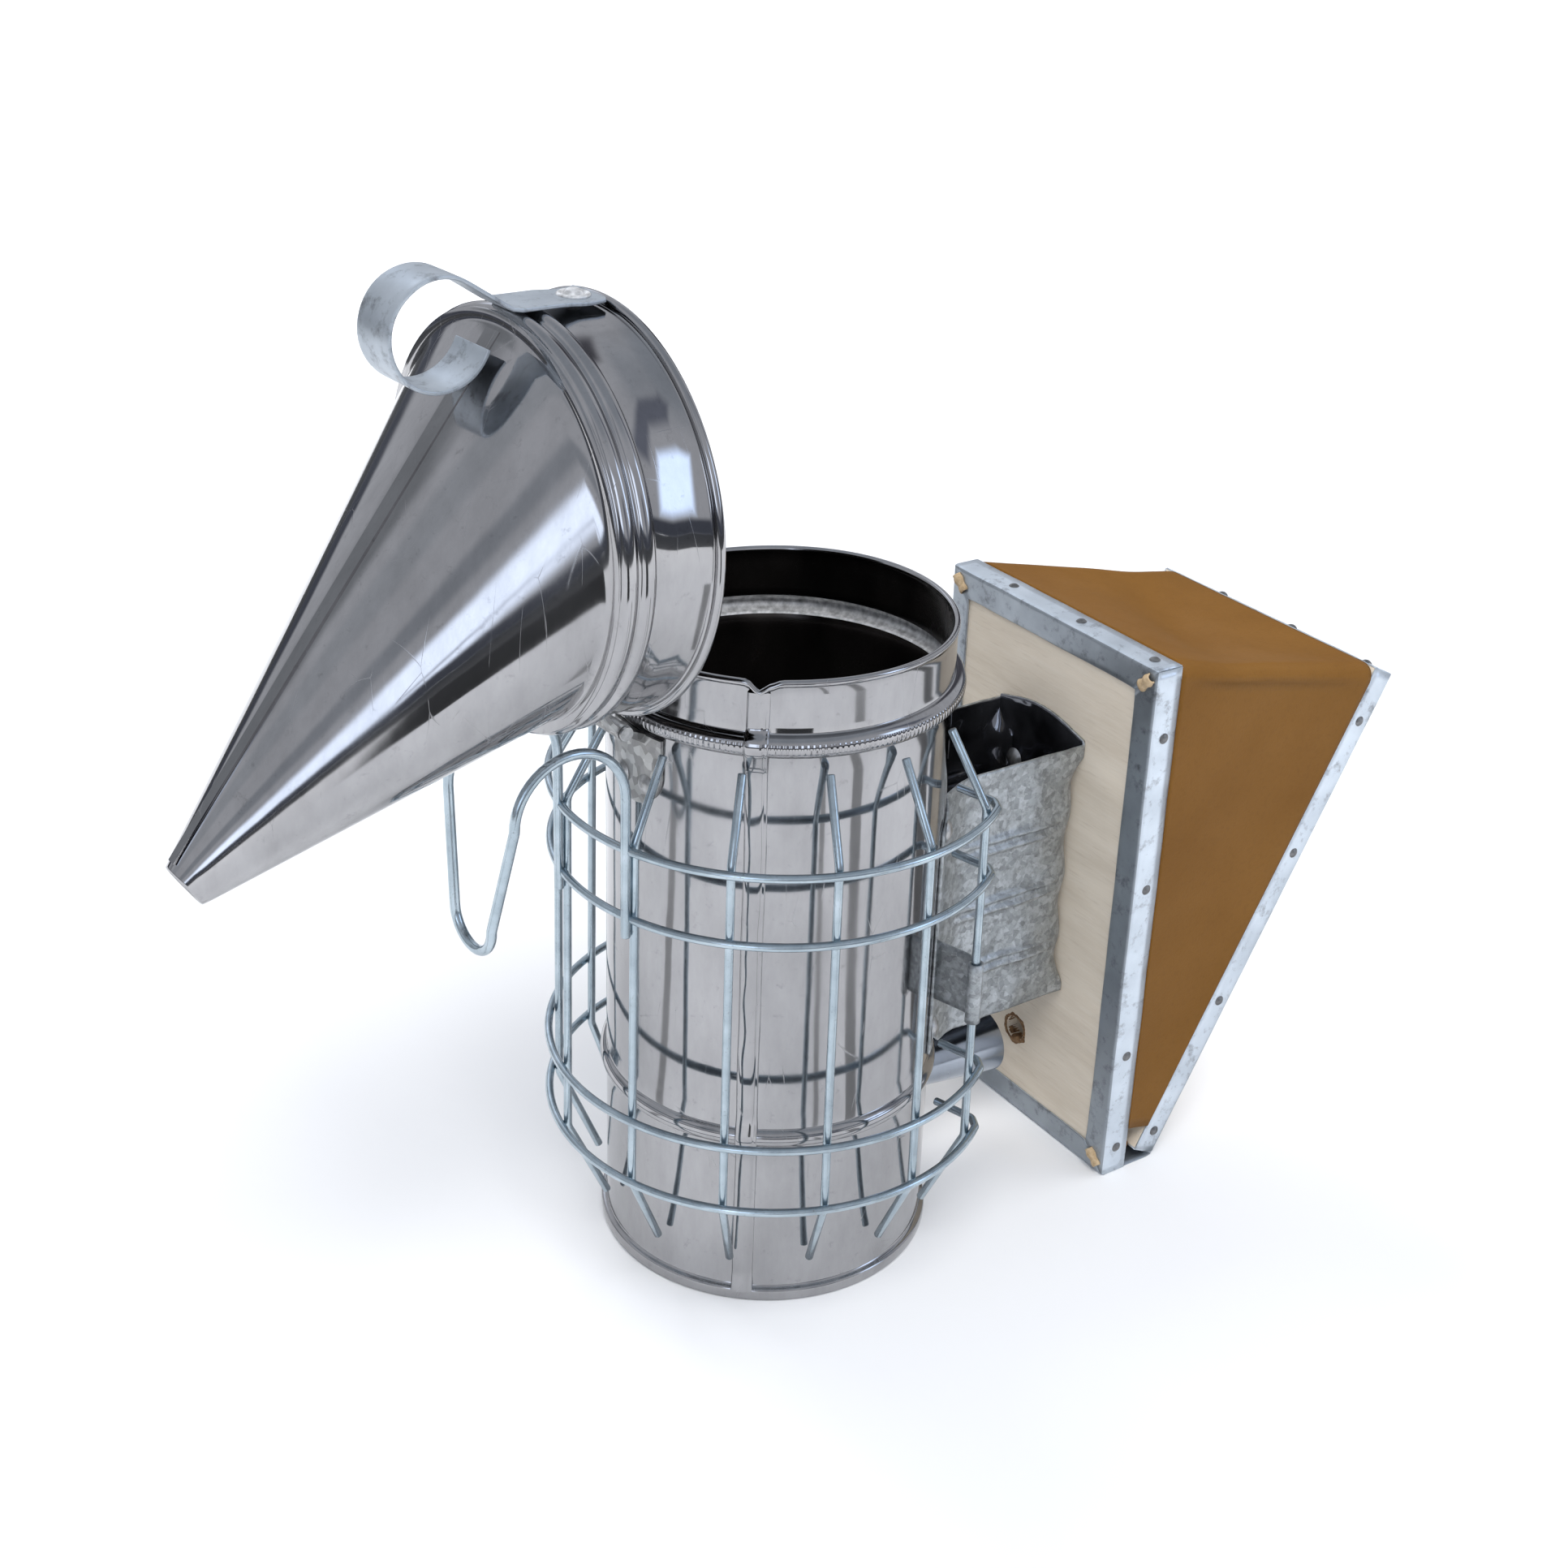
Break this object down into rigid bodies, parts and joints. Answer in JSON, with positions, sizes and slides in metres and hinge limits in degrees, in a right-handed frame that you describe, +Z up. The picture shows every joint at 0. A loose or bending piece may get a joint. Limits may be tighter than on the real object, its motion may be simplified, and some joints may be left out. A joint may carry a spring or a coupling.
{
  "type": "bee smoker",
  "caption": "Hand bee smoker: round steel fire can with a hinged cone lid, wire heat guard with hanging hook, and a leather and board bellows on a sheet bracket.",
  "frame": {"origin": "centre of the fire can's base, on the surface it stands on", "axes": "+Z up along the can's axis, +X towards the bellows, the lid hinge and hook on -X"},
  "size_m": [0.3956, 0.138, 0.3165],
  "materials": {
    "polished_steel": "mirror polished stainless, light scratches and finger marks",
    "zinc_wire": "bright zinc plated wire, bluish",
    "galvanised_sheet": "spangled galvanised sheet, satin",
    "zinc_edging": "bluish zinc strip, satin, lightly stained",
    "fasteners": "plain steel, dull",
    "burnt_steel": "dark heat-blued sheet",
    "plywood": "pale bare plywood, fine horizontal grain",
    "tan_leather": "smooth tan brown leather, satin"
  },
  "bodies": {
    "can": {"can_shell": "polished_steel", "can_bottom": "polished_steel", "can_seam": "polished_steel", "air_inlet_tube": "galvanised_sheet", "guard_ring_1": "zinc_wire", "guard_ring_2": "zinc_wire", "guard_ring_3": "zinc_wire", "guard_ring_4": "zinc_wire", "guard_uprights": "zinc_wire", "hanging_hook": "zinc_wire", "bellows_bracket": "galvanised_sheet", "bracket_rivets": "fasteners", "bracket_bolts": "fasteners", "hinge_leaf_can": "galvanised_sheet", "hinge_pin": "fasteners", "hinge_rivets_can": "fasteners", "front_board": "plywood", "front_edge_left": "zinc_edging", "front_edge_right": "zinc_edging", "front_edge_top": "zinc_edging", "front_edge_bottom": "zinc_edging", "front_nails": "fasteners", "bellows_leather": "tan_leather", "bellows_hinge": "tan_leather", "bellows_spring": "fasteners"},
    "lid": {"lid_collar": "polished_steel", "lid_cone": "polished_steel", "cone_seam": "polished_steel", "lid_loop": "galvanised_sheet", "lid_loop_rivet": "fasteners", "hinge_leaf_lid": "galvanised_sheet", "hinge_rivets_lid": "fasteners"},
    "rear_board": {"rear_board": "plywood", "rear_edge_left": "zinc_edging", "rear_edge_right": "zinc_edging", "rear_edge_top": "zinc_edging", "rear_edge_bottom": "zinc_edging", "rear_nails": "fasteners"},
    "grate": {"fire_grate": "burnt_steel", "grate_handle": "burnt_steel"}
  },
  "joints": [
    {"name": "lid_hinge", "type": "hinge", "parent": "can", "child": "lid", "pos_m": [-0.0616, 0, 0.187], "axis": [0, -1, 0], "range_deg": [-88.5, 0]},
    {"name": "bellows_squeeze", "type": "hinge", "parent": "can", "child": "rear_board", "pos_m": [0.11235, -0.00884, 0.006], "axis": [0.0785, 0.9969, 0], "range_deg": [-20, 0], "deforming": ["bellows_leather", "bellows_spring"]},
    {"name": "grate_lift", "type": "slide", "parent": "can", "child": "grate", "axis": [0, 0, 1], "range_m": [0, 0.1]}
  ]
}
